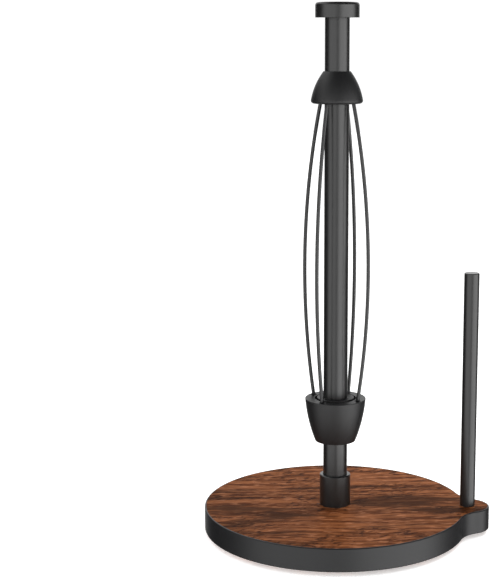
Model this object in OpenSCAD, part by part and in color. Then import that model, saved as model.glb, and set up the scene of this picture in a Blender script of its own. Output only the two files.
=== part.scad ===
// Paper towel holder: a wood-faced board on suction cups, a pole with a sprung wire cage that
// turns and clicks, and a tear rod. Millimetres. +Z is up, z = 0 is the counter, the pole
// stands on the Z axis, and the tear rod stands on the board's lobe, towards +X.

/* [Overall] */
// Height of the top of the cap above the counter
total_h = 350; // [330:1:420]
// Height of the board's underside above the counter
foot_gap = 2.5; // [2:0.1:4]

/* [Board] */
// Diameter of the round board
base_d = 175; // [140:1:220]
// Thickness of the fibreboard core
core_t = 14.5; // [12:0.1:20]
// Thickness of each laminate face
laminate_t = 0.4; // [0.3:0.1:0.8]
// Thickness of the edge band
edge_band_t = 1; // [0.6:0.1:2]
// How far the tear rod's axis lies outside the round board's edge
rod_out = 1.3; // [0:0.1:6]
// Board left round the tear rod on the lobe
lobe_margin = 9.6; // [8.5:0.1:14]
// Radius of the hollow corner between lobe and board
lobe_fillet_r = 22; // [8:1:30]
// Diameter of the two screw recesses in the underside
recess_d = 15; // [12:0.5:16]
// Depth of the two screw recesses
recess_depth = 8; // [6:0.1:9.6]

/* [Suction cups] */
// Diameter of a suction cup's lip
sucker_d = 31; // [24:0.5:38]
// Distance from the board's edge to a cup's centre
sucker_inset = 32; // [24:0.5:38]
// Width of the flat lip ring
sucker_lip_w = 0.6; // [0.4:0.1:1]
// Height of the hollow under a cup
sucker_dish_h = 1.3; // [0.8:0.1:1.6]
// Diameter of a cup's stem
stem_d = 10.6; // [8:0.1:13]
// Length of the stem inside the board
stem_len = 8; // [5:0.1:9.6]

/* [Pole and cap] */
// Outside diameter of the pole
pole_d = 16; // [13:0.1:20]
// Wall of the pole's tube
pole_wall = 1.2; // [0.8:0.1:1.5]
// Wall of the sleeve round the pole's foot
sleeve_wall = 2.2; // [1.5:0.1:4]
// Height of the sleeve
sleeve_h = 21; // [12:0.5:30]
// How far the cap stands out round the pole
cap_overhang = 6.25; // [3:0.05:10]
// Height of the cap
cap_h = 9.8; // [8:0.1:16]
// Radius of the cap's top edge
cap_edge_r = 2; // [0.5:0.1:3]
// Depth of the pole's seat in the cap
cap_seat = 3; // [1:0.1:3.5]
// Diameter of the stud that holds the cap
stud_d = 6; // [4:0.5:8]
// Length of each threaded plug in the pole
plug_len = 12; // [8:0.5:20]

/* [Tear rod] */
// Diameter of the tear rod
rod_d = 10; // [8:0.1:14]
// Height of the tear rod above the board
rod_h = 158; // [100:1:190]
// Chamfer at both ends of the tear rod
rod_chamfer = 0.4; // [0.2:0.1:1]

/* [Screws] */
// Diameter of the screws' threads
screw_d = 5; // [4:0.5:6]
// Diameter of the screw heads
head_d = 9.5; // [8:0.1:11]
// Height of the screw heads
head_h = 3.3; // [2.5:0.1:4]
// Length of thread in the pole's plug and in the rod
thread_len = 10; // [6:0.5:11]

/* [Cage] */
// Bare pole between the board and the lower cup
cup_lift = 44.2; // [30:0.1:60]
// Height of the lower cup
cup_h = 29; // [28:0.1:36]
// Width of the cup's top face, from the ring gap to the rim
rim_w = 6.5; // [5:0.1:8]
// How far the cup's side bulges from straight
cup_bulge = 1.1; // [0.3:0.1:2]
// Wall of the cup at its foot
foot_wall = 0.8; // [0.8:0.1:2]
// Bare pole between the dome and the cap
bare_top = 33.9; // [20:0.1:60]
// Height of the upper dome
dome_h = 20.6; // [17:0.1:28]
// Land round the pole at the dome's top
dome_top_w = 0.8; // [0.6:0.1:2]
// How far the dome's side bulges from straight
dome_bulge = 1.25; // [0.3:0.05:2]
// Radius of the dome's lower lip
dome_lip_r = 2; // [1:0.1:2.5]
// Diameter of the spring wires
wire_d = 2.4; // [2:0.1:3]
// Distance of the wires' widest point from the pole's surface
wire_bow = 16.2; // [13.5:0.1:20]
// Distance of the wires from the pole's surface at the dome's underside
wire_top_gap = 4.4; // [3.8:0.1:6]
// Distance from the wires to the dome's outer edge at its underside
dome_rim_w = 4.45; // [3.5:0.05:6]
// Turn of the first wire from the lobe
wire_turn = -30; // [-45:1:45]
// Length of wire seated in the cup
wire_seat_cup = 6; // [3:0.1:8]
// Length of wire seated in the dome
wire_seat_dome = 8; // [4:0.1:10]

/* [Click cartridge] */
// Width of the collar round the pole in the cup's mouth
collar_w = 4.35; // [3.5:0.05:6]
// Gap between the collar and the cup
ring_gap = 1.35; // [0.8:0.05:2]
// Wall of the hub's lower barrel
hub_wall = 1.6; // [1.2:0.1:2.5]
// Room between the hub's lower barrel and the cup's chamber wall
click_room = 3; // [2.8:0.1:4]
// Teeth in the click ring
teeth = 24; // [16:4:32]
// Diameter of the pin through pole and hub
pin_d = 3; // [2:0.1:3.5]

/* [Hidden] */

$fn = 96;
cut = 1;            // how far a cutting shape runs past the face that it cuts
run_gap = 0.08;     // radial clearance of a bearing
slip_gap = 0.05;    // radial clearance of a piece that slides into place
hole_gap = 0.25;    // radial clearance of a screw in its hole
ring_facets = 1440; // facets of a full circle that a short bowed bar is cut from

// Board
base_r = base_d / 2;
board_t = core_t + 2 * laminate_t;
board_top = foot_gap + board_t;
rod_r = rod_d / 2;
rod_x = base_r + rod_out;
lobe_r = rod_r + lobe_margin;
recess_r = recess_d / 2;
recess_z = foot_gap + recess_depth;
screw_r = screw_d / 2;
head_r = head_d / 2;
fillet_a = base_r + lobe_fillet_r;
fillet_b = lobe_r + lobe_fillet_r;
fillet_x = (fillet_a * fillet_a - fillet_b * fillet_b + rod_x * rod_x) / (2 * rod_x);
fillet_y = sqrt(fillet_a * fillet_a - fillet_x * fillet_x);

// Suction cups
sucker_r = sucker_d / 2;
sucker_ring_r = base_r - sucker_inset;
sucker_back_w = 1.7; // width of the cup's back that lies on the board, round the stem
sucker_edge_t = 0.5; // thickness of the lip
stem_gap = 0.1;      // play of the stem in its hole
dish_r = (pow(sucker_r - sucker_lip_w, 2) + pow(sucker_dish_h, 2)) / (2 * sucker_dish_h);

// Pole
pole_r = pole_d / 2;
bore_r = pole_r - pole_wall;
sleeve_r = pole_r + sleeve_wall;
sleeve_chamfer = 0.5;
cap_r = pole_r + cap_overhang;
cap_z = total_h - cap_h;
cap_skin = 2.8;  // material left over the stud
pole_top = cap_z + cap_seat;
plug_spare = 2;  // length of plug that the stud doesn't reach
stud_r = stud_d / 2;
stud_z = pole_top - plug_len + plug_spare;
stud_top = total_h - cap_skin;

// Heights of the click cartridge, from the rim of the cup down
mouth_depth = 3;    // the cup's mouth, which holds the collar
rib_h = 4;          // the rib that bears on the hub
washer_t = 1;
flange_t = 2;
flange_drop = 4;    // room between the flange and the click ring
ring_h = 7;
cover_in = 0.3;     // how far the cover lies inside the cup's foot
cover_t = 3;
hub_in = 0.4;       // how far the hub's end lies inside the cup's foot
pin_up = 2.2;       // height of the pin above the hub's end
collar_float = 0.5; // room under the collar
collar_proud = 0.5; // how far the collar stands above the rim
cup_z = board_top + cup_lift;
rim_z = cup_z + cup_h;
shoulder_z = rim_z - mouth_depth;
chamber_top = shoulder_z - rib_h;
washer_z = chamber_top - washer_t;
flange_z = washer_z - flange_t;
ring_z = flange_z - flange_drop - ring_h;
cover_z = cup_z + cover_in;
hub_z = cup_z + hub_in;
pin_z = hub_z + pin_up;
collar_z = shoulder_z + collar_float;

// Radii of the click cartridge, from the pole outwards
barrel_step = 0.6;  // how much wider the hub's upper barrel is
flange_gap = 0.4;   // room round the flange in the chamber
pin_in = 0.4;       // how far the pin's ends lie inside the hub
tooth_h = 1.2;      // from the chamber wall to the teeth's crests
scallop_r = 0.9;    // radius of the round gap between two teeth
scallop_in = 0.1;   // how far its centre lies inside the crests
clip_t = 0.5;       // thickness of the spring's ring
arm_t = 0.5;        // thickness of its arms
arm_clear = 0.3;    // room between an arm and the crests
arm_root = 12;      // degrees that the root of an arm spans
arm_tip = 3;        // degrees that an arm runs past its nub
nub_r = 0.7;
nub_in = 0.25;      // how far the nub's centre lies inside the crests
nub_teeth = 5;      // teeth from the arm's root to its nub
pin_r = pin_d / 2;
hub_low_r = pole_r + hub_wall;
hub_top_r = hub_low_r + barrel_step;
chamber_r = hub_low_r + click_room;
flange_r = chamber_r - flange_gap;
crest_r = chamber_r - tooth_h;
arm_out_r = crest_r - arm_clear;
nub_angle = nub_teeth * 360 / teeth;
collar_r = pole_r + collar_w;
mouth_r = collar_r + ring_gap;
cup_rim_r = mouth_r + rim_w;
cup_foot_r = chamber_r + foot_wall;

// Dome
dome_top = cap_z - bare_top;
dome_z = dome_top - dome_h;
dome_top_r = pole_r + dome_top_w;
dome_hole_gap = 0.3; // room round the pole at the dome's ends
bush_wall = 0.9;
bush_in_low = 1;     // dome below the bush
bush_in_top = 2.3;   // dome above the bush
bush_r = pole_r + bush_wall;
bush_low = dome_z + bush_in_low;
bush_top = dome_top - bush_in_top;

// Wires: one arc that stands upright at its widest point and passes through both seats
wire_r = wire_d / 2;
wire_fit = 0.02;
wire_low_r = mouth_r + rim_w / 2;
wire_top_r = pole_r + wire_top_gap;
wire_mid_r = pole_r + wire_bow;
dome_foot_r = wire_top_r + dome_rim_w;
drop_low = wire_mid_r - wire_low_r;
drop_top = wire_mid_r - wire_top_r;
free_h = dome_z - rim_z;
chord_term = free_h * free_h + drop_top * (drop_top - drop_low);
bow_rise = chord_term / (free_h + sqrt(free_h * free_h + (drop_top / drop_low - 1) * chord_term));
bow_z = rim_z + bow_rise;
bow_r = (bow_rise * bow_rise / drop_low + drop_low) / 2;
wire_a0 = asin((rim_z - wire_seat_cup - bow_z) / bow_r);
wire_a1 = asin((dome_z + wire_seat_dome - bow_z) / bow_r);

black_metal = "#2b2b2d";
black_moulding = "#242425";
bare_steel = "#c9cacc";
acetal = "#e6e4dc";
clear_vinyl = "#dfe3e4";
rustic_wood = "#6b3d26";
fibreboard = "#a8845c";
edge_charcoal = "#3a3b3c";

// The board's outline, with its lobe and the hollow corners between them, drawn in by inset
module board_outline(inset = 0) {
    difference() {
        union() {
            circle(r = base_r - inset, $fn = 240);
            translate([rod_x, 0])
                circle(r = lobe_r - inset);
            polygon([[0, 0], [fillet_x, -fillet_y], [rod_x, 0], [fillet_x, fillet_y]]);
        }
        for (side = [-1, 1])
            translate([fillet_x, side * fillet_y])
                circle(r = lobe_fillet_r + inset);
    }
}

// Copies its child to the pole's axis and to the rod's axis
module at_screws() {
    for (x = [0, rod_x])
        translate([x, 0, 0])
            children();
}

// Puts its child at the centre of suction cup i, counted from the lobe
module at_sucker(i) {
    rotate([0, 0, 90 * i - 45])
        translate([sucker_ring_r, 0, 0])
            children();
}

// The region between the axis and a side that runs from (r0, z0) to (r1, z1) on an arc
module bowed_side(r0, z0, r1, z1, bulge) {
    chord = norm([r1 - r0, z1 - z0]);
    arc_r = (chord * chord / 4 + bulge * bulge) / (2 * bulge);
    out = [z1 - z0, r0 - r1] / chord;
    mid = [r0 + r1, z0 + z1] / 2;
    intersection() {
        translate(mid - out * (arc_r - bulge))
            circle(r = arc_r, $fn = 720);
        translate([0, z0])
            square([max(r0, r1) + bulge + cut, z1 - z0]);
    }
}

// A flat arc of ring between two radii and two angles
module ring_sector(r_in, r_out, a0, a1) {
    reach = 2 * r_out;
    intersection() {
        difference() {
            circle(r = r_out);
            circle(r = r_in);
        }
        polygon(concat([[0, 0]], [for (a = [a0, (a0 + a1) / 2, a1]) reach * [cos(a), sin(a)]]));
    }
}

// A tube between two heights
module tube(r_in, r_out, z0, z1) {
    translate([0, 0, z0])
        linear_extrude(height = z1 - z0)
            difference() {
                circle(r = r_out);
                circle(r = r_in);
            }
}

module base_board() {
    color(fibreboard)
        difference() {
            translate([0, 0, foot_gap + laminate_t])
                linear_extrude(height = core_t)
                    board_outline(edge_band_t);
            at_screws() {
                translate([0, 0, foot_gap - cut])
                    cylinder(r = screw_r + hole_gap, h = board_t + 2 * cut);
                translate([0, 0, foot_gap - cut])
                    cylinder(r = recess_r, h = recess_depth + cut);
            }
            for (i = [1:4])
                at_sucker(i)
                    translate([0, 0, foot_gap - cut])
                        cylinder(r = stem_d / 2 + stem_gap, h = stem_len + stem_gap + cut);
        }
}

module top_laminate() {
    color(rustic_wood)
        translate([0, 0, board_top - laminate_t])
            linear_extrude(height = laminate_t)
                difference() {
                    board_outline(edge_band_t);
                    for (x = [0, rod_x])
                        translate([x, 0])
                            circle(r = screw_r + hole_gap);
                }
}

module bottom_laminate() {
    color(rustic_wood)
        difference() {
            translate([0, 0, foot_gap])
                linear_extrude(height = laminate_t)
                    board_outline(edge_band_t);
            at_screws()
                translate([0, 0, foot_gap - cut])
                    cylinder(r = recess_r, h = laminate_t + 2 * cut);
            for (i = [1:4])
                at_sucker(i)
                    translate([0, 0, foot_gap - cut])
                        cylinder(r = stem_d / 2 + stem_gap, h = laminate_t + 2 * cut);
        }
}

module edge_band() {
    color(edge_charcoal)
        translate([0, 0, foot_gap])
            linear_extrude(height = board_t)
                difference() {
                    board_outline();
                    board_outline(edge_band_t);
                }
}

// Clear cup with a hollow underside and a stem that is pushed into the board
module suction_cup(i) {
    color(clear_vinyl)
        at_sucker(i)
            rotate_extrude()
                difference() {
                    polygon([
                        [0, 0],
                        [sucker_r, 0],
                        [sucker_r, sucker_edge_t],
                        [stem_d / 2 + sucker_back_w, foot_gap],
                        [stem_d / 2, foot_gap],
                        [stem_d / 2, foot_gap + stem_len],
                        [0, foot_gap + stem_len]
                    ]);
                    intersection() {
                        translate([0, sucker_dish_h - dish_r])
                            circle(r = dish_r, $fn = 720);
                        translate([0, -cut])
                            square([sucker_r, sucker_dish_h + 2 * cut]);
                    }
                }
}

// Pan head screw, driven upwards from the recess floor
module pan_screw() {
    dome_r = 1.6 * head_r;
    slot_w = 1.1;
    slot_len = 5;
    slot_depth = 1.7;
    color(bare_steel)
        difference() {
            union() {
                translate([0, 0, recess_z])
                    cylinder(r = screw_r, h = board_top + thread_len - recess_z);
                intersection() {
                    translate([0, 0, recess_z - head_h])
                        cylinder(r = head_r, h = head_h);
                    translate([0, 0, recess_z - head_h + dome_r])
                        sphere(r = dome_r);
                }
            }
            for (turn = [0, 90])
                rotate([0, 0, turn])
                    translate([-slot_len / 2, -slot_w / 2, recess_z - head_h - cut])
                        cube([slot_len, slot_w, slot_depth + cut]);
        }
}

module pole_screw() {
    pan_screw();
}

module rod_screw() {
    translate([rod_x, 0, 0])
        pan_screw();
}

module pole() {
    color(black_metal)
        difference() {
            tube(bore_r, pole_r, board_top, pole_top);
            translate([0, 0, pin_z])
                rotate([90, 0, 0])
                    cylinder(r = pin_r, h = 4 * pole_r, center = true);
        }
}

module pole_foot_nut() {
    color(bare_steel)
        tube(screw_r, bore_r, board_top, board_top + plug_len);
}

module base_sleeve() {
    color(black_metal)
        rotate_extrude()
            polygon([
                [pole_r + slip_gap, board_top],
                [sleeve_r, board_top],
                [sleeve_r, board_top + sleeve_h - sleeve_chamfer],
                [sleeve_r - sleeve_chamfer, board_top + sleeve_h],
                [pole_r + slip_gap, board_top + sleeve_h]
            ]);
}

module top_cap() {
    color(black_metal)
        difference() {
            translate([0, 0, cap_z])
                rotate_extrude()
                    union() {
                        square([cap_r - cap_edge_r, cap_h]);
                        square([cap_r, cap_h - cap_edge_r]);
                        translate([cap_r - cap_edge_r, cap_h - cap_edge_r])
                            circle(r = cap_edge_r);
                    }
            translate([0, 0, cap_z - cut])
                cylinder(r = pole_r + slip_gap, h = cap_seat + cut);
            translate([0, 0, cap_z - cut])
                cylinder(r = stud_r, h = stud_top - cap_z + cut);
        }
}

module cap_stud() {
    color(bare_steel)
        translate([0, 0, stud_z])
            cylinder(r = stud_r, h = stud_top - stud_z);
}

module pole_top_nut() {
    color(bare_steel)
        tube(stud_r, bore_r, pole_top - plug_len, pole_top);
}

module tear_rod() {
    top = board_top + rod_h;
    color(black_metal)
        translate([rod_x, 0, 0])
            difference() {
                rotate_extrude()
                    polygon([
                        [0, board_top],
                        [rod_r - rod_chamfer, board_top],
                        [rod_r, board_top + rod_chamfer],
                        [rod_r, top - rod_chamfer],
                        [rod_r - rod_chamfer, top],
                        [0, top]
                    ]);
                translate([0, 0, board_top - cut])
                    cylinder(r = screw_r, h = thread_len + 2 * cut);
            }
}

// Fixed hub: the cup turns on both barrels and hangs on the flange through the washer
module click_hub() {
    color(acetal)
        difference() {
            union() {
                translate([0, 0, hub_z])
                    cylinder(r = hub_low_r, h = flange_z - hub_z);
                translate([0, 0, flange_z])
                    cylinder(r = flange_r, h = flange_t);
                translate([0, 0, washer_z])
                    cylinder(r = hub_top_r, h = collar_z - washer_z);
            }
            translate([0, 0, hub_z - cut])
                cylinder(r = pole_r + slip_gap, h = collar_z - hub_z + 2 * cut);
            rotate([90, 0, 0])
                translate([0, pin_z, 0])
                    cylinder(r = pin_r + slip_gap, h = 4 * pole_r, center = true);
            translate([-pin_r - slip_gap, -2 * pole_r, hub_z - cut])
                cube([2 * (pin_r + slip_gap), 4 * pole_r, pin_z - hub_z + cut]);
        }
}

module hub_pin() {
    color(bare_steel)
        translate([0, 0, pin_z])
            rotate([90, 0, 0])
                cylinder(r = pin_r, h = 2 * (hub_low_r - pin_in), center = true);
}

// One-piece spring: a ring that grips the hub and two arms, each with a round nub
module click_spring() {
    side_gap = 1;
    color(acetal)
        translate([0, 0, ring_z + side_gap])
            linear_extrude(height = ring_h - 2 * side_gap)
                union() {
                    difference() {
                        circle(r = hub_low_r + clip_t);
                        circle(r = hub_low_r);
                    }
                    for (turn = [0, 180])
                        rotate([0, 0, turn]) {
                            ring_sector(hub_low_r + clip_t / 2, arm_out_r, 0, arm_root);
                            ring_sector(arm_out_r - arm_t, arm_out_r, 0, nub_angle + arm_tip);
                            rotate([0, 0, nub_angle])
                                translate([crest_r - nub_in, 0])
                                    circle(r = nub_r, $fn = 32);
                        }
                }
}

module thrust_washer() {
    color(acetal)
        tube(hub_top_r + run_gap, flange_r, washer_z, chamber_top);
}

module hub_collar() {
    color(black_moulding)
        tube(pole_r, collar_r, collar_z, rim_z + collar_proud);
}

// Tapered cup: mouth for the collar, rib that bears on the hub, and the click chamber
module lower_cup() {
    color(black_moulding)
        difference() {
            rotate_extrude()
                bowed_side(cup_foot_r, cup_z, cup_rim_r, rim_z, cup_bulge);
            translate([0, 0, shoulder_z])
                cylinder(r = mouth_r, h = mouth_depth + cut);
            translate([0, 0, chamber_top - cut])
                cylinder(r = hub_top_r + run_gap, h = rib_h + 2 * cut);
            translate([0, 0, cup_z - cut])
                cylinder(r = chamber_r, h = chamber_top - cup_z + cut);
            for (i = [1:4])
                at_wire(i)
                    wire_bar(wire_r + wire_fit);
        }
}

module click_ring() {
    color(acetal)
        translate([0, 0, ring_z])
            linear_extrude(height = ring_h)
                difference() {
                    circle(r = chamber_r);
                    circle(r = crest_r);
                    for (i = [1:teeth])
                        rotate([0, 0, i * 360 / teeth])
                            translate([crest_r - scallop_in, 0])
                                circle(r = scallop_r, $fn = 32);
                }
}

module cup_cover() {
    color(black_moulding)
        tube(hub_low_r + run_gap, chamber_r, cover_z, cover_z + cover_t);
}

// Turns its child to wire i
module at_wire(i) {
    rotate([0, 0, wire_turn + 90 * (i - 1)])
        children();
}

// A round bar of radius r along the wires' arc, in the XZ plane
module wire_bar(r) {
    translate([wire_mid_r - bow_r, 0, bow_z])
        rotate([90, 0, 0])
            rotate([0, 0, wire_a0])
                rotate_extrude(angle = wire_a1 - wire_a0, $fn = ring_facets)
                    translate([bow_r, 0])
                        circle(r = r, $fn = 32);
}

module cage_wire(i) {
    color(black_metal)
        at_wire(i)
            wire_bar(wire_r);
}

// Bell that carries the wires' upper ends and slides on the pole
module upper_dome() {
    color(black_moulding)
        difference() {
            rotate_extrude()
                union() {
                    bowed_side(dome_foot_r, dome_z + dome_lip_r, dome_top_r, dome_top, dome_bulge);
                    translate([dome_foot_r - dome_lip_r, dome_z + dome_lip_r])
                        circle(r = dome_lip_r);
                    translate([0, dome_z])
                        square([dome_foot_r - dome_lip_r, dome_lip_r]);
                }
            translate([0, 0, dome_z - cut])
                cylinder(r = pole_r + dome_hole_gap, h = dome_h + 2 * cut);
            translate([0, 0, bush_low])
                cylinder(r = bush_r, h = bush_top - bush_low);
            for (i = [1:4])
                at_wire(i)
                    wire_bar(wire_r + wire_fit);
        }
}

module dome_bush() {
    color(acetal)
        tube(pole_r + run_gap, bush_r, bush_low, bush_top);
}

base_board();
top_laminate();
bottom_laminate();
edge_band();
for (i = [1:4])
    suction_cup(i);
pole_screw();
rod_screw();
pole();
pole_foot_nut();
base_sleeve();
top_cap();
cap_stud();
pole_top_nut();
tear_rod();
click_hub();
hub_pin();
click_spring();
thrust_washer();
hub_collar();
lower_cup();
click_ring();
cup_cover();
for (i = [1:4])
    cage_wire(i);
upper_dome();
dome_bush();
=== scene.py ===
# %% [markdown]
# # A paper towel holder with a sprung wire cage
# The holder is a wood-faced board on suction cups, with a steel pole, a wire cage that turns and
# clicks on it, and a tear rod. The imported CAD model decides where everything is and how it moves.
# This script only gives the pieces that show finer meshes and real finishes, and lights them.

# %% Load the CAD frame
import math

import bpy
import numpy as np
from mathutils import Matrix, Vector


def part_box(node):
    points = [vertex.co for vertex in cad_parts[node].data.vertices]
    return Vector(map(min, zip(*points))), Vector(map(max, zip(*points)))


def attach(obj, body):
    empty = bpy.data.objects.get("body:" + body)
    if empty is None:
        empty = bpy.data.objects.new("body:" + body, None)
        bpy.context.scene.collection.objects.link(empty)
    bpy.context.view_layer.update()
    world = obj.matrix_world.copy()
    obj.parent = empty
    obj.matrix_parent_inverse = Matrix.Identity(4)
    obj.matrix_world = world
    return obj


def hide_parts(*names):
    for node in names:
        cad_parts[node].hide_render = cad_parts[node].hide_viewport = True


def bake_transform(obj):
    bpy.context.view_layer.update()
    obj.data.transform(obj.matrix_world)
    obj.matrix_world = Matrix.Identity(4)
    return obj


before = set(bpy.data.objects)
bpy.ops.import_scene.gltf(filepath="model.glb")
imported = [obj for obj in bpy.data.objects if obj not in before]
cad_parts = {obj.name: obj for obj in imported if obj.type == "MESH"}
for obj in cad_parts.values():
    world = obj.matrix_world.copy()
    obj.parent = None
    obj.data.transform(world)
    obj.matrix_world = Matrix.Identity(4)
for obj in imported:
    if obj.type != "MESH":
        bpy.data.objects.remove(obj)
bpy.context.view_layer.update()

# %% [markdown]
# Sizes are read from the frame, so that a change of the CAD model carries over. A node's box gives
# the radius and the heights of a turned piece. All shapes below are worked out in millimetres and
# become metres only when they go into a mesh.

# %% Read sizes in millimetres
MM = 0.001


def box_mm(node):
    """The lowest and the highest corner of a CAD node, in millimetres."""
    low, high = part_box(node)
    return np.array(low) / MM, np.array(high) / MM


def turned_size(node):
    """(radius, bottom, top) of a CAD node that is turned round a vertical line."""
    low, high = box_mm(node)
    return (high[1] - low[1]) / 2, low[2], high[2]


pole_r, board_top, pole_top = turned_size("pole")
rod_low, rod_high = box_mm("tear_rod")
rod_x = (rod_low[0] + rod_high[0]) / 2
print("pole", round(pole_r, 2), "board top", round(board_top, 2), "rod at", round(rod_x, 2))

# %% [markdown]
# Every new piece is a grid of points: rows run along an outline, columns run round or along a path.
# One function turns the two counts into four-cornered faces, and one puts points and faces into a
# mesh, smooths it but keeps real corners sharp, and hides the CAD nodes that the piece stands for.

# %% Grids and pieces
SHARP = math.radians(35)


def grid_faces(rows, columns, close_rows=False):
    """Four-cornered faces of a grid whose columns close into a ring, as an array of point numbers.
    Face (i, j) joins point (i, j) to its neighbours at j + 1 and i + 1, so it faces outwards when
    columns run anticlockwise and rows run upwards."""
    i = np.arange(rows if close_rows else rows - 1)[:, None]
    j = np.arange(columns)[None, :]
    here, above = i * columns, (i + 1) % rows * columns
    beside = (j + 1) % columns
    corners = [here + j, here + beside, above + beside, above + j]
    return np.stack(np.broadcast_arrays(*corners), -1).reshape(-1, 4)


def add_piece(name, points, faces, finish, slot, body=None, nodes=()):
    """A mesh object from points in millimetres, which rides on a body and stands for CAD nodes."""
    mesh = bpy.data.meshes.new(name)
    mesh.from_pydata((points * MM).tolist(), [], [list(f) for f in faces])
    mesh.validate()
    mesh.shade_smooth()
    mesh.set_sharp_from_angle(angle=SHARP)
    mesh.materials.append(finish)
    made = bpy.data.objects.new(name, mesh)
    bpy.context.scene.collection.objects.link(made)
    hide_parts(*nodes)
    if body:
        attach(made, body)
    print(f"{name}: {len(points)} points, {len(faces)} faces")
    return made


# %% [markdown]
# Most pieces were turned on a lathe or moulded round an axis, so their shape is one outline of
# radius and height. An outline is a short list of corners, each with the radius of its rounding,
# because a real edge is never quite sharp and its rounding is what catches the light.

# %% Outlines and the lathe
GUARD = 0.08  # a point this far past each rounding keeps the flat beside it flat when shaded


def arc(middle, start, end, steps):
    """Points on the circle round middle from start to end: a blend of the two spokes, weighted by
    the sines of the angle still to go and of the angle already done."""
    a, b = np.subtract(start, middle), np.subtract(end, middle)
    sweep = np.arccos(a @ b / np.sqrt((a @ a) * (b @ b)))
    share = np.linspace(0, 1, steps + 1)[:, None]
    blend = np.sin((1 - share) * sweep) * a + np.sin(share * sweep) * b
    return middle + blend / np.sin(sweep)


def bowed(start, end, bulge, steps=24):
    """Points between start and end on an arc that stands out by bulge to the right of the way."""
    start, end = np.array(start), np.array(end)
    along = end - start
    length = np.hypot(*along)
    out = np.array([along[1], -along[0]]) / length
    radius = (length**2 / 4 + bulge**2) / (2 * bulge)
    middle = (start + end) / 2 - out * (radius - bulge)
    return arc(middle, start, end, steps)[1:-1]


def rounded(*corners, steps=5):
    """An outline through (radius, height, rounding) corners. A rounding is the arc that touches
    both sides, so its middle is on the line that halves the corner."""
    places = np.array([c[:2] for c in corners], float)
    roundings = [c[2] if len(c) > 2 else 0 for c in corners]
    outline = []
    for k, rounding in enumerate(roundings):
        here = places[k]
        if not rounding:
            outline.append(here[None])
            continue
        back = places[k - 1] - here
        on = places[(k + 1) % len(places)] - here
        back, on = back / np.hypot(*back), on / np.hypot(*on)
        half = np.arccos(back @ on) / 2
        reach = rounding / np.tan(half)
        middle = here + (back + on) / np.hypot(*(back + on)) * rounding / np.sin(half)
        outline.append((here + back * (reach + GUARD))[None])
        outline.append(arc(middle, here + back * reach, here + on * reach, steps))
        outline.append((here + on * (reach + GUARD))[None])
    return np.concatenate(outline)


def lathe(outline, turns, centre_x=0.0):
    """(points, faces) of an outline turned round a vertical line: x = radius cos t, y = radius sin t,
    with t from 0 to a full turn. An outline whose two ends are on the line is closed by two fans of
    triangles, and any other one closes on itself. Outlines run anticlockwise, solid on the left."""
    on_axis = outline[0, 0] == 0 and outline[-1, 0] == 0
    rings = outline[1:-1] if on_axis else outline
    t = np.linspace(0, 2 * np.pi, turns, endpoint=False)
    radius, height = rings[:, :1], rings[:, 1:]
    grid = [radius * np.cos(t) + centre_x, radius * np.sin(t), height + 0 * t]
    points = np.stack(grid, -1).reshape(-1, 3)
    faces = grid_faces(len(rings), turns, close_rows=not on_axis).tolist()
    if on_axis:
        ends = [[centre_x, 0, outline[0, 1]], [centre_x, 0, outline[-1, 1]]]
        points = np.concatenate([points, ends])
        ring, beside = np.arange(turns), (np.arange(turns) + 1) % turns
        last = (len(rings) - 1) * turns
        first_end, last_end = len(rings) * turns, len(rings) * turns + 1
        faces += np.stack([0 * ring + first_end, beside, ring], -1).tolist()
        faces += np.stack([ring + last, beside + last, 0 * ring + last_end], -1).tolist()
    return points, faces


# %% [markdown]
# Finishes are node materials. One small function adds a node with its settings and its inputs, and
# another turns the usual hex colours, which are sRGB, into the linear values that Blender mixes.
# Patterns read Object coordinates, so a pattern's scale is set from the real size of its marks: a
# scale of 1000 / 60 repeats it about every 60 mm.

# %% Node and colour helpers


def add_node(tree, kind, inputs, **settings):
    """Adds one node. A socket among the inputs is linked, and any other value is set."""
    made = tree.nodes.new("ShaderNode" + kind)
    for name, value in settings.items():
        setattr(made, name, value)
    for name, value in inputs.items():
        if isinstance(value, bpy.types.NodeSocket):
            tree.links.new(value, made.inputs[name])
        else:
            made.inputs[name].default_value = value
    return made


def linear(hex_colour):
    """sRGB hex to linear red, green, blue and alpha: a straight part near black, then a power curve.
    The numbers are those of the sRGB standard."""
    srgb = np.array([int(hex_colour[i : i + 2], 16) for i in (1, 3, 5)]) / 255
    curve = ((srgb + 0.055) / 1.055) ** 2.4
    return [*np.where(srgb <= 0.04045, srgb / 12.92, curve), 1.0]


def new_finish(name, **sockets):
    """A material and its tree and shader, with constants set on the shader's own sockets."""
    made = bpy.data.materials.new(name)
    made.use_nodes = True
    shader = made.node_tree.nodes["Principled BSDF"]
    for socket, value in sockets.items():
        shader.inputs[socket.replace("_", " ")].default_value = value
    return made, made.node_tree, shader


def per_mm(*lengths):
    """The scale at which a pattern's marks have these lengths in mm along X, Y and Z."""
    return [1 / (length * MM) for length in lengths]


# %% [markdown]
# The board is faced with a melamine laminate: a printed rustic oak under a pressed grain. A print
# is layers of ink, so the material is built as one. On a red brown ground lie darker streaks, pale
# flecks, dark fibres, nearly black stains and, in rough patches, short slanting cracks. Each ink
# has a noise of its own, stretched to the length and width of its marks. The finest real fibres
# are too thin to show, so they are drawn wider. A slow sideways drift keeps the marks from being
# ruled lines.

# %% Rustic laminate: the patterns
GRAIN_TURN = 0.08  # radians between the grain and the line from pole to rod
DRIFT_SIZE = (90, 45, 45)  # mm from one sideways bend of the marks to the next
DRIFT_REACH = 18  # mm that the marks drift sideways at most
APART_X, APART_Y = 7, 3  # how far each pattern starts from the one before it

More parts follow.
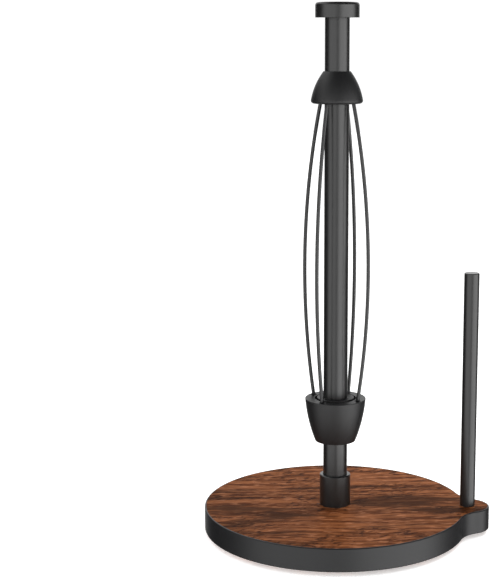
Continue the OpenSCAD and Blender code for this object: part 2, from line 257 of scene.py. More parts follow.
rustic_laminate, tree, shader = new_finish("rustic_laminate", Roughness=0.55, Specular_IOR_Level=0.01)
place = add_node(tree, "TexCoord", {}).outputs["Object"]
slow = add_node(tree, "Mapping", {"Vector": place, "Scale": per_mm(*DRIFT_SIZE)})
drift = add_node(tree, "TexNoise", {"Vector": slow.outputs[0], "Scale": 1.0, "Detail": 1.0})
wander = add_node(tree, "Math", {0: drift.outputs[0], 1: DRIFT_REACH * MM}, operation="MULTIPLY")
shift = add_node(tree, "CombineXYZ", {"Y": wander.outputs[0]})
grain = add_node(tree, "VectorMath", {0: place, 1: shift.outputs[0]}).outputs[0]

patterns = {  # length along the grain and width across it in mm, detail, extra turn
    "streak": (110, 4.2, 5.0, 0.0),
    "fleck": (9, 2.0, 4.0, 0.05),
    "fibre": (11, 1.4, 3.0, 0.12),
    "stain_and_shade": (85, 16, 5.0, 0.0),
    "crack": (6, 2.1, 3.0, 0.4),
    "rough": (55, 32, 1.0, 0.0),
}
noise = {}
for k, (pattern, (length, width, detail, turn)) in enumerate(patterns.items()):
    origin = (APART_X * k, APART_Y * k, 0)
    turned = add_node(
        tree, "Mapping", {"Vector": grain, "Location": origin, "Rotation": (0, 0, -GRAIN_TURN - turn)}
    )
    stretched = add_node(
        tree, "VectorMath", {0: turned.outputs[0], 1: per_mm(length, width, width)}, operation="MULTIPLY"
    )
    noise[pattern] = add_node(
        tree, "TexNoise", {"Vector": stretched.outputs[0], "Scale": 1.0, "Detail": detail}
    ).outputs[0]
print("patterns:", ", ".join(noise))

# %% [markdown]
# Two patterns are combined before they are used. The stains get ragged ends from the fibres, and
# a dark band is added that crosses the middle of the board past the pole's foot: partly a streak of
# the print, partly painted shadow of the pole. Cracks only open in patches.

# %% Rustic laminate: stains, a dark band with painted shade, and cracks
# The dark band along the grain past the pole's foot is partly a streak of the print and partly painted
# shadow of the pole.
STREAK_AND_SHADE_SLOPE, STREAK_AND_SHADE_SHIFT, STREAK_AND_SHADE_HALF = 0.17, 12 * MM, 22 * MM
STREAK_AND_SHADE_STRENGTH = 0.11
RAGGED = 0.22  # share of the fibres that frays the stains' ends
OPEN_FROM, OPEN_FULL = 0.47, 0.55  # where a rough patch starts, and where it is full of cracks
xyz = add_node(tree, "SeparateXYZ", {0: grain})
slope = add_node(
    tree, "Math", {0: xyz.outputs[0], 1: STREAK_AND_SHADE_SLOPE, 2: xyz.outputs[1]}, operation="MULTIPLY_ADD"
)
off_streak_and_shade = add_node(tree, "Math", {0: slope.outputs[0], 1: STREAK_AND_SHADE_SHIFT}, operation="SUBTRACT")
away = add_node(tree, "Math", {0: off_streak_and_shade.outputs[0]}, operation="ABSOLUTE")
streak_and_shade = add_node(
    tree,
    "MapRange",
    {0: away.outputs[0], 1: STREAK_AND_SHADE_HALF, 2: 0.0, 4: STREAK_AND_SHADE_STRENGTH},
    interpolation_type="SMOOTHSTEP",
)
ragged = add_node(
    tree, "Math", {0: noise["fibre"], 1: RAGGED, 2: noise["stain_and_shade"]}, operation="MULTIPLY_ADD"
)
# Adding the band to the stains paints the pole's shadow into the laminate, together with a real streak.
noise["stain_and_shade"] = add_node(tree, "Math", {0: ragged.outputs[0], 1: streak_and_shade.outputs[0]}).outputs[0]
open_part = add_node(
    tree,
    "MapRange",
    {0: noise["rough"], 1: OPEN_FROM, 2: OPEN_FULL},
    interpolation_type="SMOOTHSTEP",
)
noise["crack"] = add_node(
    tree, "Math", {0: noise["crack"], 1: open_part.outputs[0]}, operation="MULTIPLY"
).outputs[0]

# %% Rustic laminate: the inks
inks = [  # pattern, where it starts and where it is full, colour, strength
    ("streak", 0.42, 0.60, "#4d2711", 0.85),
    ("fleck", 0.52, 0.64, "#a36b4b", 0.6),
    ("fibre", 0.50, 0.62, "#3f1f0f", 0.6),
    # This ink also colours the dark band, which is partly painted shadow of the pole.
    ("stain_and_shade", 0.63, 0.76, "#321b0d", 0.75),
    ("crack", 0.54, 0.60, "#25120a", 0.7),
]
GROUND = "#824f30"
GROOVE_DEEP, GROOVE_STRENGTH = 0.15, 0.6  # depth in mm of the pressed grain, and how far it counts
colour = linear(GROUND)
covers = {}
for pattern, start, full, ink, strength in inks:
    covers[pattern] = add_node(
        tree,
        "MapRange",
        {0: noise[pattern], 1: start, 2: full, 4: strength},
        interpolation_type="SMOOTHSTEP",
    ).outputs[0]
    layer = add_node(tree, "Mix", {0: covers[pattern], 6: colour, 7: linear(ink)}, data_type="RGBA")
    colour = layer.outputs[2]
tree.links.new(colour, shader.inputs["Base Color"])

grooves = add_node(tree, "Math", {0: covers["fibre"], 1: covers["crack"]})
pressed = add_node(
    tree,
    "Bump",
    {"Height": grooves.outputs[0], "Distance": GROOVE_DEEP * MM, "Strength": GROOVE_STRENGTH},
    invert=True,
)
tree.links.new(pressed.outputs[0], shader.inputs["Normal"])
print(rustic_laminate.name, len(tree.nodes), "nodes")

# %% [markdown]
# The other finishes are plainer: each has one fine grain. One noise of the grain's real size picks
# between two close tints, moves the roughness a little and raises the skin by a few hundredths of
# a millimetre or less.

# %% A finish with one fine grain
NOISE_LOW, NOISE_HIGH = 0.3, 0.7  # nearly all of a noise lies between these
SKIN_STRENGTH = 0.6


def grained(name, size, tints, roughness, relief, detail=2.0, **sockets):
    """A material whose noise, of this size in mm along X, Y and Z, sets tint, roughness and a
    relief in mm."""
    made, tree, shader = new_finish(name, **sockets)
    place = add_node(tree, "TexCoord", {}).outputs["Object"]
    scaled = add_node(tree, "Mapping", {"Vector": place, "Scale": per_mm(*size)}).outputs[0]
    grain = add_node(tree, "TexNoise", {"Vector": scaled, "Scale": 1.0, "Detail": detail}).outputs[0]
    dark, light = (linear(tint) for tint in tints)
    tint = add_node(tree, "Mix", {0: grain, 6: dark, 7: light}, data_type="RGBA")
    gloss = add_node(
        tree, "MapRange", {0: grain, 1: NOISE_LOW, 2: NOISE_HIGH, 3: roughness[0], 4: roughness[1]}
    )
    skin = add_node(
        tree, "Bump", {"Height": grain, "Distance": relief * MM, "Strength": SKIN_STRENGTH}
    )
    tree.links.new(tint.outputs[2], shader.inputs["Base Color"])
    tree.links.new(gloss.outputs[0], shader.inputs["Roughness"])
    tree.links.new(skin.outputs[0], shader.inputs["Normal"])
    print(name, "grain of", size, "mm")
    return made


# %% [markdown]
# The edge is banded with charcoal ABS, rolled with a matt texture of about 0.3 mm. It is drawn at
# 0.8 mm here, because anything finer can't be seen. ABS has an IOR near 1.53.

# %% Charcoal ABS edging
charcoal_abs = grained(
    "charcoal_abs_edging",
    (0.8, 0.8, 0.8),
    ("#141415", "#1b1b1c"),
    (0.38, 0.48),
    0.02,
    IOR=1.53,
    Specular_IOR_Level=0.32,
)

# %% [markdown]
# Pole, sleeve, cap and tear rod are steel with a baked black polyester powder coat. The coat is a
# plastic to the eye, so it isn't metallic. It is satin, with the faint orange peel that powder
# leaves as it flows: 1.5 mm from crest to crest, and a little stretched along the tube.

# %% Black powder coat
powder_coat = grained(
    "black_powder_coat", (1.5, 1.5, 2.2), ("#131313", "#1a1a1a"), (0.28, 0.36), 0.003, IOR=1.55
)

# %% [markdown]
# Cup, dome and collar are moulded in black nylon from a spark-eroded tool. That leaves a dry matt
# skin of pits about 0.2 mm across, drawn here at 0.8 mm, the smallest size that can show.

# %% Matt black nylon
matt_nylon = grained(
    "matt_black_nylon",
    (0.8, 0.8, 0.8),
    ("#0e0e0f", "#161617"),
    (0.42, 0.54),
    0.02,
    IOR=1.53,
    Specular_IOR_Level=0.4,
)

# %% [markdown]
# The cage wires are spring steel, drawn through a die and dipped in black lacquer. The lacquer is
# thinner than powder, so the wire is a little glossier, and faint drawing marks run along it.

# %% Black lacquered spring wire
spring_wire = grained(
    "black_lacquered_wire", (0.7, 0.7, 24), ("#121213", "#1b1b1c"), (0.25, 0.36), 0.01, IOR=1.5
)

# %% [markdown]
# A suction cup is soft vinyl with an IOR of 1.53. Its thin skirt is clear with a slight haze from
# the mould, and its thick stem looks milky, because light scatters on its way through. Half a
# millimetre bends light too little to see, so the skirt is made partly see-through with Alpha.

# %% Clear and milky vinyl
clear_vinyl = grained(
    "clear_vinyl", (2, 2, 2), ("#c4bdb8", "#dcd7d3"), (0.15, 0.3), 0.01, IOR=1.53, Alpha=0.22
)
milky_vinyl = grained(
    "milky_vinyl",
    (3, 3, 3),
    ("#ccd3d6", "#dde2e4"),
    (0.35, 0.45),
    0.02,
    IOR=1.53,
    Subsurface_Weight=0.2,
    Subsurface_Scale=2 * MM,
)

# %% [markdown]
# Screws, nuts and pins are zinc plated steel: bright, a little blue, and clouded by the plating
# bath in patches of a few millimetres. It is a metal, so it keeps the default IOR. The cartridge in
# the cup is natural acetal, a waxy cream white. The board's core is fibreboard, furry where it is
# drilled, with bundles of fibre about a millimetre long.

# %% Zinc plate, acetal and fibreboard
zinc_plate = grained(
    "zinc_plated_steel", (2.5, 2.5, 2.5), ("#b4b8bf", "#dadce0"), (0.2, 0.4), 0.004, 4.0, Metallic=1.0
)
acetal = grained("natural_acetal", (4, 4, 4), ("#dedbcf", "#ebe9e1"), (0.3, 0.4), 0.01, IOR=1.48)
fibreboard = grained(
    "cut_fibreboard", (1.2, 1.2, 0.6), ("#4d3826", "#725539"), (0.8, 0.9), 0.1, 4.0, IOR=1.45
)
print(len(bpy.data.materials), "materials")

# %% [markdown]
# The edging runs round a board that is a circle with a small lobe, joined by hollow corners. Each
# stretch is an arc, so the outline is four arcs of points and the directions that face out of the
# board. The edging's own section is then carried along it. Its outer corners are rolled round, and
# that round edge is what draws the thin dark line between wood and band.

# %% The board's outline
band_low, band_high = box_mm("edge_band")
base_r = -band_low[0]
band_t = base_r + box_mm("base_board")[0][0]
lobe_r = band_high[0] - rod_x
hollow_r = 22.0  # radius of the hollow corner between lobe and board
edge_round = 0.75  # radius of the edging's rolled corners
hollow_x = ((base_r + hollow_r) ** 2 - (lobe_r + hollow_r) ** 2 + rod_x**2) / (2 * rod_x)
hollow_y = math.sqrt((base_r + hollow_r) ** 2 - hollow_x**2)


def outline_arc(centre_x, centre_y, radius, start, end, step=0.9):
    """(points, outward directions) along one arc of the board. A hollow corner is run through
    backwards, and there the board's outside is towards the arc's middle."""
    count = max(4, round(radius * abs(end - start) / step))
    t = np.linspace(start, end, count, endpoint=False)
    spokes = np.stack([np.cos(t), np.sin(t)], -1)
    return [centre_x, centre_y] + radius * spokes, spokes * np.sign(end - start)


board_turn = math.atan2(hollow_y, hollow_x)
lobe_turn = math.atan2(hollow_y, hollow_x - rod_x)
arcs = [
    outline_arc(0, 0, base_r, board_turn, 2 * math.pi - board_turn),
    outline_arc(hollow_x, -hollow_y, hollow_r, math.pi - board_turn, math.pi - lobe_turn),
    outline_arc(rod_x, 0, lobe_r, -lobe_turn, lobe_turn),
    outline_arc(hollow_x, hollow_y, hollow_r, lobe_turn - math.pi, board_turn - math.pi),
]
path, facing = (np.concatenate(part) for part in zip(*arcs))
print("outline:", len(path), "points, board", round(base_r, 2), "lobe", round(lobe_r, 2))

# %% The edging
section = rounded(
    (-band_t, band_low[2]),
    (0, band_low[2], edge_round),
    (0, band_high[2], edge_round),
    (-band_t, band_high[2]),
    steps=8,
)
out, height = section[:, :1, None], section[:, 1:, None]
flat = path[None] + out * facing[None]
points = np.concatenate([flat, height + 0 * flat[..., :1]], -1).reshape(-1, 3)
faces = grid_faces(len(section), len(path), close_rows=True)
add_piece("edging", points, faces, charcoal_abs, "edge_banding", "stand", ["edge_band"])

# %% [markdown]
# The pole is a plain tube. It stands in a short sleeve that hides its screw joint, and a cap closes
# its top. The sleeve's top corner has a small chamfer whose flat catches the light as a pale line,
# and the cap's upper edge has a full round.

# %% Pole, sleeve, cap and tear rod
TUBE_TURNS, CAP_TURNS, ROD_TURNS = 144, 192, 112  # points round each piece
pole_wall = 1.2
slip = 0.05  # play of the pieces that slide over the pole
tube_edge = 0.25
small_round, bore_round = 0.15, 0.1  # radii of edges that are only broken
pole_outline = rounded(
    (pole_r - pole_wall, board_top),
    (pole_r, board_top),
    (pole_r, pole_top, tube_edge),
    (pole_r - pole_wall, pole_top, tube_edge),
)
add_piece(
    "pole_tube", *lathe(pole_outline, TUBE_TURNS), powder_coat, "black_coated_steel", "stand", ["pole"]
)

sleeve_r, sleeve_low, sleeve_high = turned_size("base_sleeve")
sleeve_chamfer = 0.5
sleeve_outline = rounded(
    (pole_r + slip, sleeve_low),
    (sleeve_r, sleeve_low, small_round),
    (sleeve_r, sleeve_high - sleeve_chamfer, small_round),
    (sleeve_r - sleeve_chamfer, sleeve_high, small_round),
    (pole_r + slip, sleeve_high, bore_round),
)
add_piece(
    "foot_sleeve",
    *lathe(sleeve_outline, TUBE_TURNS),
    powder_coat,
    "black_coated_steel",
    "stand",
    ["base_sleeve"],
)

cap_r, cap_low, cap_high = turned_size("top_cap")
stud_r, _, stud_top = turned_size("cap_stud")
cap_round, cap_low_round = 2.0, 0.2
cap_outline = rounded(
    (0, stud_top),
    (stud_r, stud_top),
    (stud_r, pole_top),
    (pole_r + slip, pole_top),
    (pole_r + slip, cap_low, small_round),
    (cap_r, cap_low, cap_low_round),
    (cap_r, cap_high, cap_round),
    (0, cap_high),
    steps=8,
)
add_piece(
    "end_cap", *lathe(cap_outline, CAP_TURNS), powder_coat, "black_coated_steel", "stand", ["top_cap"]
)

rod_r, rod_chamfer, screw_r = (rod_high[0] - rod_low[0]) / 2, 0.4, 2.5
screw_top = box_mm("rod_screw")[1][2]
bore_end = screw_top + 1  # the bore goes a millimetre past the screw
rod_outline = rounded(
    (0, bore_end),
    (screw_r, bore_end),
    (screw_r, rod_low[2]),
    (rod_r - rod_chamfer, rod_low[2]),
    (rod_r, rod_low[2] + rod_chamfer, small_round),
    (rod_r, rod_high[2] - rod_chamfer, small_round),
    (rod_r - rod_chamfer, rod_high[2], small_round),
    (0, rod_high[2]),
)
add_piece(
    "tear_bar",
    *lathe(rod_outline, ROD_TURNS, rod_x),
    powder_coat,
    "black_coated_steel",
    "stand",
    ["tear_rod"],
)

# %% [markdown]
# The lower cup carries the wires. Its side bows out a little, its top is a flat ring, and in its
# mouth sits the fixed collar, with a dark gap between them. Each wire goes into a small socket that
# is sunk into the ring, so the ring needs a fine grid, and the points inside a socket are lowered.

# %% Wire line and sockets
_, rim_low, rim_z = turned_size("lower_cup")
_, dome_low, dome_high = turned_size("upper_dome")
wire_r = 1.2
wire_low_r, wire_mid_r, wire_top_r = 16.95, pole_r + 16.2, pole_r + 4.4
wire_turns = np.radians([-30, 60, 150, 240])
socket_r, socket_wall, socket_deep = 1.75, 0.35, 0.9
print("wires leave the cup at radius", wire_low_r, "and enter the dome at", round(wire_top_r, 2))


def sink_sockets(points, height, middle_r, depth):
    """Moves the points of a flat face by depth inside each socket's radius. The wall fades in over
    its width as 3 s squared minus 2 s cubed, with s from 0 outside to 1 inside."""
    middles = middle_r * np.stack([np.cos(wire_turns), np.sin(wire_turns)], -1)
    away = np.linalg.norm(points[:, None, :2] - middles, axis=-1).min(1)
    s = np.clip((socket_r + socket_wall - away) / socket_wall, 0, 1)
    on_face = np.isclose(points[:, 2], height, atol=0.001)
    points[:, 2] += depth * on_face * s * s * (3 - 2 * s)
    return points


def ring_steps(start, end, step=0.25):
    """Corners along a flat ring face, close enough together for the sockets' walls."""
    count = round(abs(end - start) / step)
    return np.linspace(start, end, count + 1)


# %% Lower cup and collar
cup_r, foot_r = turned_size("lower_cup")[0], 13.4
chamber_r, chamber_top, rib_r = 12.6, 84.0, 10.28
mouth_r, mouth_low = 13.7, rim_z - 3
cup_bulge, rim_round = 1.1, 0.4
flat_in, flat_out = mouth_r + 0.6, cup_r - 0.8  # ends of the rim's flat, clear of its roundings
CUP_TURNS = 432
cup_outline = rounded(
    (chamber_r, rim_low, small_round),
    (foot_r, rim_low, rim_round),
    *bowed((foot_r, rim_low), (cup_r, rim_z), cup_bulge),
    (cup_r, rim_z, rim_round),
    *[(r, rim_z) for r in ring_steps(flat_out, flat_in)],
    (mouth_r, rim_z, 0.3),
    (mouth_r, mouth_low, 0.2),
    (rib_r, mouth_low, 0.2),
    (rib_r, chamber_top),
    (chamber_r, chamber_top),
)
points, faces = lathe(cup_outline, CUP_TURNS)
points = sink_sockets(points, rim_z, wire_low_r, -socket_deep)
add_piece("wire_cup", points, faces, matt_nylon, "black_moulding", "cage", ["lower_cup"])

collar_r, collar_low, collar_high = turned_size("hub_collar")
collar_outline = rounded(
    (pole_r, collar_low),
    (collar_r, collar_low),
    (collar_r, collar_high, 0.35),
    (pole_r, collar_high),
)
add_piece(
    "mouth_collar",
    *lathe(collar_outline, TUBE_TURNS),
    matt_nylon,
    "black_moulding",
    "stand",
    ["hub_collar"],
)

# %% [markdown]
# The upper dome is a bell with a bowed side and a soft round lip. Its underside has the same
# sockets, turned upwards. It slides on the pole by a millimetre or two as the wires flex.

# %% Upper dome
dome_r, dome_top_r, dome_bore_r = turned_size("upper_dome")[0], pole_r + 0.8, pole_r + 0.3
bush_r, bush_low, bush_high = turned_size("dome_bush")
lip_r, lip_steps = 2.0, 14
dome_bulge = 1.25
flat_in, flat_out = dome_bore_r + 0.6, dome_r - lip_r - 0.1  # ends of the underside's flat
DOME_TURNS = 384
lip_middle = (dome_r - lip_r, dome_low + lip_r)
lip_arc = arc(lip_middle, (dome_r - lip_r, dome_low), (dome_r, dome_low + lip_r), lip_steps)
dome_outline = rounded(
    (dome_bore_r, dome_low, 0.2),
    *[(r, dome_low) for r in ring_steps(flat_in, flat_out)],
    *lip_arc,
    *bowed((dome_r, dome_low + lip_r), (dome_top_r, dome_high), dome_bulge),
    (dome_top_r, dome_high, 0.12),
    (dome_bore_r, dome_high, bore_round),
    (dome_bore_r, bush_high),
    (bush_r, bush_high),
    (bush_r, bush_low),
    (dome_bore_r, bush_low),
)
points, faces = lathe(dome_outline, DOME_TURNS)
points = sink_sockets(points, dome_low, wire_top_r, socket_deep)
add_piece("wire_dome", points, faces, matt_nylon, "black_moulding", "dome", ["upper_dome"])

# %% [markdown]
# Each wire is one arc that stands upright at its widest point. Two heights and three radii fix it:
# at the cup's rim, at its widest and at the dome's underside. The tube's grid runs up the arc and
# round the wire. The wires bend between cup and dome when the dome slides.

# %% Cage wires
free_h = dome_low - rim_z
drop_low, drop_top = wire_mid_r - wire_low_r, wire_mid_r - wire_top_r
chord = free_h**2 + drop_top * (drop_top - drop_low)
rise = chord / (free_h + math.sqrt(free_h**2 + (drop_top / drop_low - 1) * chord))
widest_z = rim_z + rise
bow_r = (rise**2 / drop_low + drop_low) / 2
seat_cup, seat_dome = 6, 8  # mm of wire inside the cup and inside the dome


def wire_tube(turn, steps=150, sides=24):
    """(points, faces) of a round bar along the arc. Its middle line is at radius
    wire_mid_r - bow_r + bow_r cos a and height widest_z + bow_r sin a, and the bar's points stand
    round that by wire_r, partly along the arc's spoke and partly across it."""
    low = math.asin((rim_z - seat_cup - widest_z) / bow_r)
    high = math.asin((dome_low + seat_dome - widest_z) / bow_r)
    a = np.linspace(low, high, steps)[:, None]
    b = np.linspace(0, 2 * np.pi, sides, endpoint=False)
    spoke = bow_r + wire_r * np.cos(b)
    across = wire_r * np.sin(b) + 0 * a
    radius = wire_mid_r - bow_r + spoke * np.cos(a)
    x = radius * np.cos(turn) - across * np.sin(turn)
    y = radius * np.sin(turn) + across * np.cos(turn)
    points = np.stack([x, y, widest_z + spoke * np.sin(a)], -1).reshape(-1, 3)
    faces = grid_faces(steps, sides).tolist()
    ends = [list(range(sides))[::-1], list(range(len(points) - sides, len(points)))]
    return points, faces + ends


for i, turn in enumerate(wire_turns, start=1):
    points, faces = wire_tube(turn)
    node = f"cage_wire_{i}"
    wire = add_piece(f"spring_wire_{i}", points, faces, spring_wire, "coated_spring_wire", None, [node])
    start, end = (0, 0, rim_z * MM), (0, 0, dome_low * MM)
    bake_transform(wire)
print("wires: arc radius", round(bow_r, 1), "widest at", round(widest_z, 1))

# %% [markdown]
# A suction cup is a thin skirt with a hollow underside, moulded with fine rings, and a stem that
# is pushed into the board. The skirt is clear and the stem milky, so the one mesh has two
# materials, chosen by how far a face is from the axis.

# %% Suction cups
sucker_r, _, stem_top = turned_size("suction_cup_1")
stem_r, lip_w, dish_h, back_w, skirt_t = 5.3, 0.6, 1.3, 1.7, 0.5
gap = band_low[2]
dish_edge = sucker_r - lip_w
dish_r = (dish_edge**2 + dish_h**2) / (2 * dish_h)
ring_pitch, ring_h, ring_fade = 1.6, 0.12, 2
DISH_POINTS, SUCKER_TURNS = 90, 128

r = np.linspace(0, dish_edge, DISH_POINTS)
fade = np.clip((r - stem_r) / ring_fade, 0, 1) * np.clip((dish_edge - r) / ring_fade, 0, 1)
dish = np.sqrt(dish_r**2 - r**2) - dish_r + dish_h + ring_h * fade * np.cos(2 * np.pi * r / ring_pitch)
sucker_outline = np.concatenate(
    [
        np.stack([r, dish], -1),
        rounded(
            (sucker_r, 0, 0.1),
            (sucker_r, skirt_t, 0.1),
            (stem_r + back_w, gap, 0.3),
            (stem_r, gap),
            (stem_r, stem_top, 0.8),
            (0, stem_top),
        ),
    ]
)
for i in range(1, 5):
    low, high = box_mm(f"suction_cup_{i}")
    points, faces = lathe(sucker_outline, SUCKER_TURNS)
    points += [(low[0] + high[0]) / 2, (low[1] + high[1]) / 2, 0]
    cup = add_piece(
        f"sucker_{i}", points, faces, clear_vinyl, "clear_vinyl", "stand", [f"suction_cup_{i}"]
    )
    cup.data.materials.append(milky_vinyl)
    middles = np.empty(len(cup.data.polygons) * 3)
    cup.data.polygons.foreach_get("center", middles)
    middles = middles.reshape(-1, 3)[:, :2] / MM - [(low[0] + high[0]) / 2, (low[1] + high[1]) / 2]
    is_stem = np.hypot(*middles.T) < stem_r + 0.1
    cup.data.polygons.foreach_set("material_index", is_stem.astype(np.int32))

# %% [markdown]
# Two pan head screws come up through the board. The head's cross recess is a hollow whose depth
# depends on the distance from two crossing lines, and the thread is a ripple in the shank's radius
# that climbs one pitch for each turn, so both are small changes to the points of one lathe shape.

# %% Screws
head_r, shank_r, pitch, thread_deep = 4.75, 2.5, 0.8, 0.42
head_t = 3.3
head_low = box_mm("pole_screw")[0][2]
head_high = head_low + head_t
crown_ball = 1.6 * head_r  # radius of the ball that the head's crown is part of
slot_half, slot_reach, slot_deep = 0.5, 2.6, 1.7
slot_flare, slot_wall = 0.25, 0.3  # how far outside the slot its wall starts, and the wall's width
plain_shank, thread_grows = 1, 1.5  # under the head, and the stretch over which the thread rises
CROWN_POINTS, SCREW_TURNS = 46, 160


def screw_shape(centre_x):
    """(points, faces) of a screw that points up. Depth of the cross at (x, y) is the larger of the
    two arms, each a smooth step across the arm times one minus the square of the way along it."""
    r = np.linspace(0, head_r, CROWN_POINTS)
    crown = head_low + crown_ball - np.sqrt(crown_ball**2 - r**2)
    shank_z = np.arange(head_high, screw_top - 0.4, 0.1)
    rest = rounded(
        (head_r, head_high, 0.15),
        *[(shank_r, z) for z in shank_z],
        (shank_r - 0.5, screw_top),
        (0, screw_top),
    )
    outline = np.concatenate([np.stack([r, crown], -1), rest])
    points, faces = lathe(outline, SCREW_TURNS)
    x, y, z = points.T
    radius, turn = np.hypot(x, y), np.arctan2(y, x)
    arms = []
    for across, along in ((x, y), (y, x)):
        s = np.clip((slot_half + slot_flare - abs(across)) / slot_wall, 0, 1)
        arms.append(s * s * (3 - 2 * s) * np.clip(1 - (along / slot_reach) ** 2, 0, 1))
    in_head = (z < head_low + 1.4) & (radius < slot_reach + 0.5)
    z += slot_deep * in_head * np.maximum(*arms)
    climb = (z / pitch - turn / (2 * np.pi)) % 1
    ripple = thread_deep * abs(2 * climb - 1)
    fade_in = np.clip((z - head_high - plain_shank) / thread_grows, 0, 1) * (abs(radius - shank_r) < 0.01)
    shrink = 1 - ripple * fade_in / np.maximum(radius, 1e-6)
    return np.stack([x * shrink + centre_x, y * shrink, z], -1), faces


for name, centre_x in (("pole_screw", 0.0), ("rod_screw", rod_x)):
    points, faces = screw_shape(centre_x)
    add_piece(f"pan_head_{name}", points, faces, zinc_plate, "zinc_steel", "stand", [name])

# %% [markdown]
# The rest of the CAD nodes already have the right shape: the flat laminates, the board inside them
# and the click cartridge, which is hidden in the cup. They stay as they are and only take a finish.

# %% Finishes for the CAD nodes that stay
kept = {
    rustic_laminate: ["top_laminate", "bottom_laminate"],
    fibreboard: ["base_board"],
    zinc_plate: ["pole_foot_nut", "pole_top_nut", "cap_stud", "hub_pin"],
    acetal: ["click_hub", "click_spring", "thrust_washer", "click_ring", "dome_bush"],
    matt_nylon: ["cup_cover"],
}
for finish, names in kept.items():
    for name in names:
        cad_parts[name].data.materials.clear()
        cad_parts[name].data.materials.append(finish)
print("kept nodes:", sum(len(names) for names in kept.values()))

# %% [markdown]
# The floor is a plain white sheet. Light from the room reaches it everywhere but under the board,
# so it only shows a soft shadow. It is left out of reflections, so that the bands on the metal stay
# clean, and it can't be seen from below, so that the underside can be.

# %% Floor
floor_half = 4.0  # metres
corners = np.array([[-1, -1, 0], [1, -1, 0], [1, 1, 0], [-1, 1, 0]]) * floor_half
floor_mesh = bpy.data.meshes.new("floor")
floor_mesh.from_pydata(corners.tolist(), [], [[0, 1, 2, 3]])
floor = bpy.data.objects.new("floor", floor_mesh)
bpy.context.scene.collection.objects.link(floor)

white_floor, tree, shader = new_finish(
    "white_floor",
    Roughness=0.9,
    Specular_IOR_Level=0.0,
    Base_Color=linear("#f3f3f3"),
    Emission_Color=linear("#ffffff"),
    Emission_Strength=0.45,
)
side = add_node(tree, "NewGeometry", {}).outputs["Backfacing"]
clear = add_node(tree, "BsdfTransparent", {}).outputs[0]
shown = add_node(tree, "MixShader", {0: side, 1: shader.outputs[0], 2: clear})
tree.links.new(shown.outputs[0], tree.nodes["Material Output"].inputs["Surface"])
floor_mesh.materials.append(white_floor)
floor.visible_glossy = False
floor.visible_shadow = False
print("floor", 2 * floor_half, "m wide")

# %% [markdown]
# The light is a studio of soft boxes, painted on the world as patches of direction. A tall one at
# the left and a brighter one at the right put the two long bands on the pole. A high one at the far
# left lights the dome's shoulder. Behind, a low one lights the flat tops, and a narrow one below it
# keeps the metal from turning black in views from the back. The camera sees plain white.

# %% World of soft boxes
EDGE = 0.14  # softness of a box's sides, in cosine
RISE = 0.12  # softness of its top and bottom, in sine of elevation
boxes = [  # azimuth from the front, half width, lowest and highest elevation, radiance
    (-38, 41, -60, 22, 1.75),
    (-104, 42, 26, 62, 1.5),
    (57, 41, -48, 15, 3.15),
    (180, 32, 2, 40, 1.5),
    (180, 22, -60, 2, 1.6),
]
world = bpy.data.worlds.new("studio")
world.use_nodes = True
world.cycles.sampling_method = "NONE"
bpy.context.scene.world = world
tree = world.node_tree
tree.nodes.clear()
way = add_node(tree, "TexCoord", {}).outputs["Generated"]
split = add_node(tree, "SeparateXYZ", {0: way})
level = add_node(tree, "CombineXYZ", {0: split.outputs[0], 1: split.outputs[1]})
heading = add_node(tree, "VectorMath", {0: level.outputs[0]}, operation="NORMALIZE").outputs[0]

total = None
for azimuth, half, lowest, highest, radiance in boxes:
    a = math.radians(azimuth)
    edge = math.cos(math.radians(half))
    toward = add_node(
        tree, "VectorMath", {0: heading, 1: (math.sin(a), -math.cos(a), 0)}, operation="DOT_PRODUCT"
    )
    wide = add_node(
        tree,
        "MapRange",
        {0: toward.outputs[1], 1: edge - EDGE, 2: edge + EDGE, 4: radiance},
        interpolation_type="SMOOTHSTEP",
    )
    floor_sine, top_sine = math.sin(math.radians(lowest)), math.sin(math.radians(highest))
    above = add_node(
        tree,
        "MapRange",
        {0: split.outputs[2], 1: floor_sine - RISE, 2: floor_sine + RISE},
        interpolation_type="SMOOTHSTEP",
    )
    below = add_node(
        tree,
        "MapRange",
        {0: split.outputs[2], 1: top_sine + RISE, 2: top_sine - RISE},
        interpolation_type="SMOOTHSTEP",
    )
    tall = add_node(tree, "Math", {0: above.outputs[0], 1: below.outputs[0]}, operation="MULTIPLY")
    box = add_node(tree, "Math", {0: wide.outputs[0], 1: tall.outputs[0]}, operation="MULTIPLY")
    if total is None:
        total = box.outputs[0]
    else:
        total = add_node(tree, "Math", {0: total, 1: box.outputs[0]}, operation="ADD").outputs[0]
print(len(boxes), "soft boxes")

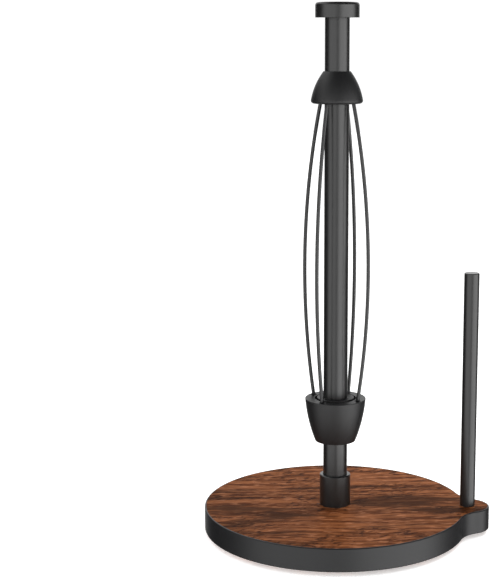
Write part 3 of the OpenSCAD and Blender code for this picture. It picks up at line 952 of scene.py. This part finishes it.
# %% Fill light and the white backdrop
ray = add_node(tree, "LightPath", {})
FILL, WHITE = 0.64, 1.1  # light from all round on matt surfaces, and what the camera sees
fill = add_node(tree, "Math", {0: ray.outputs["Is Diffuse Ray"], 1: FILL}, operation="MULTIPLY")
lit = add_node(tree, "Math", {0: total, 1: fill.outputs[0]}, operation="ADD")
seen = add_node(tree, "Mix", {0: ray.outputs["Is Camera Ray"], 2: lit.outputs[0], 3: WHITE})
sky = add_node(tree, "Background", {"Color": (1, 1, 1, 1), "Strength": seen.outputs[0]})
add_node(tree, "OutputWorld", {"Surface": sky.outputs[0]})
print("world:", len(tree.nodes), "nodes")

# %% [markdown]
# Two lamps help the world. One behind and to the right makes the board lighter on that side, and
# one under the floor lights the underside for whoever turns the holder over. Neither shows in
# reflections, so the bands on the pole stay clean.

# %% Lamps
lamps = [  # name, place in metres, size in metres, watts
    ("light_behind", (0.34, 0.2, 0.5), 0.4, 1.9),
    ("light_below", (0, 0, -0.8), 0.6, 1.2),
]
for name, spot, size, watts in lamps:
    data = bpy.data.lights.new(name, "AREA")
    data.size = size
    data.energy = watts
    lamp = bpy.data.objects.new(name, data)
    aim = Vector(spot).to_track_quat("Z", "Y")
    lamp.location = spot
    lamp.rotation_euler = aim.to_euler()
    lamp.visible_glossy = False
    bpy.context.scene.collection.objects.link(lamp)
    print(name, watts, "W")

# %% [markdown]
# The camera stands almost straight in front, about 0.93 m away and a little below the cap's height,
# and looks down by 9 degrees. A long lens keeps the pole's sides parallel. The shift moves the
# holder to the right of the frame and leaves room at its left.

# %% Camera
look_down, look_left = 9.304, 2.497  # degrees
camera_data = bpy.data.cameras.new("camera")
camera_data.lens = 89.78
camera_data.shift_x = -0.0788
camera_data.shift_y = -0.0321
camera = bpy.data.objects.new("camera", camera_data)
camera.location = (0.0107, -0.932, 0.3297)
camera.rotation_euler = (math.radians(90 - look_down), 0, math.radians(look_left))
bpy.context.scene.collection.objects.link(camera)
bpy.context.scene.camera = camera
bpy.context.scene.view_settings.view_transform = "Standard"
print("camera", camera_data.lens, "mm, looking down by", look_down, "degrees")
